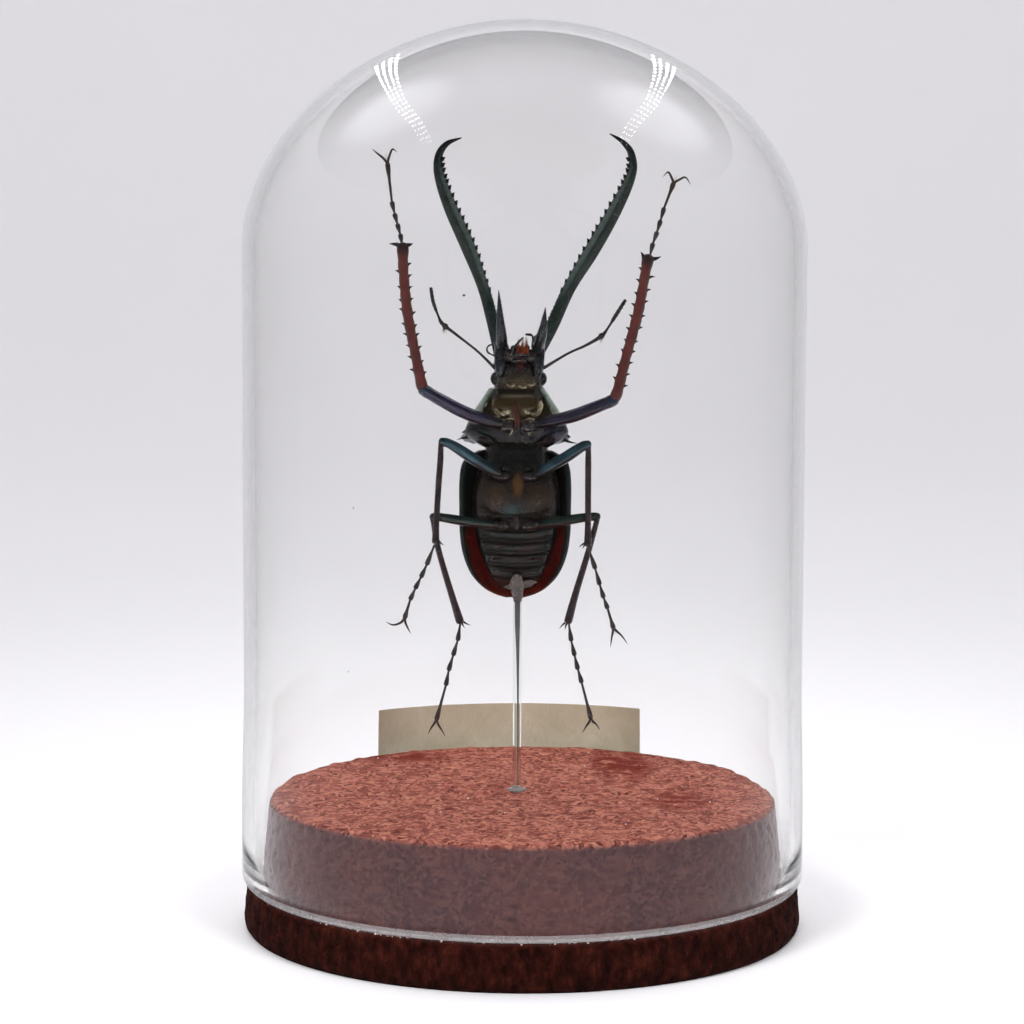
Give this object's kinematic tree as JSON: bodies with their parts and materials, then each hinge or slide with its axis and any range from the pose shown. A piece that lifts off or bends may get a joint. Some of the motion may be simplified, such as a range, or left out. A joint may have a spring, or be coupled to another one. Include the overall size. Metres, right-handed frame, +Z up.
{
  "type": "insect in glass dome",
  "caption": "Stag beetle with long toothed jaws, held upright on a clear rod above a stepped cork stand, under a round-topped glass dome with a plain paper label on its back.",
  "frame": {"origin": "middle of the underside of the cork stand", "axes": "+Z up along the dome's axis, -Y towards the viewer, who sees the beetle's belly"},
  "size_m": [0.101, 0.1013, 0.1615],
  "materials": {
    "cork": "stained pressed cork",
    "glass": "clear",
    "clear_rod": "clear",
    "glue": "cloudy, satin",
    "paper": "matte paper",
    "jaw_cuticle": "metallic green-grey cuticle",
    "head_cuticle": "dark bronze cuticle",
    "thorax_cuticle": "green-gold metallic cuticle",
    "belly_cuticle": "dark olive cuticle",
    "wing_case": "red-brown cuticle with a metallic sheen",
    "front_thigh_cuticle": "violet-blue metallic cuticle",
    "thigh_cuticle": "blue-green metallic cuticle",
    "front_shin_cuticle": "red-brown satin cuticle",
    "leg_cuticle": "dark brown satin cuticle",
    "mouth_brush": "orange-brown bristles"
  },
  "bodies": {
    "root": {"cork_stand": "cork", "glass_dome": "glass", "support_rod": "clear_rod", "rod_foot_glue": "glue", "belly_glue": "glue", "paper_label": "paper", "head": "head_cuticle", "prothorax": "thorax_cuticle", "hind_thorax": "belly_cuticle", "abdomen": "belly_cuticle", "wing_case_left": "wing_case", "wing_case_right": "wing_case", "mandible_left": "jaw_cuticle", "mandible_right": "jaw_cuticle", "antenna_left": "leg_cuticle", "antenna_right": "leg_cuticle", "palp_outer_left": "leg_cuticle", "palp_inner_left": "leg_cuticle", "palp_right": "leg_cuticle", "mouth_brush": "mouth_brush", "front_left_femur": "front_thigh_cuticle", "front_left_tibia": "front_shin_cuticle", "front_left_tarsus": "leg_cuticle", "front_right_femur": "front_thigh_cuticle", "front_right_tibia": "front_shin_cuticle", "front_right_tarsus": "leg_cuticle", "middle_left_femur": "thigh_cuticle", "middle_left_tibia": "leg_cuticle", "middle_left_tarsus": "leg_cuticle", "middle_right_femur": "thigh_cuticle", "middle_right_tibia": "leg_cuticle", "middle_right_tarsus": "leg_cuticle", "hind_left_femur": "thigh_cuticle", "hind_left_tibia": "leg_cuticle", "hind_left_tarsus": "leg_cuticle", "hind_right_femur": "thigh_cuticle", "hind_right_tibia": "leg_cuticle", "hind_right_tarsus": "leg_cuticle"}
  },
  "joints": []
}
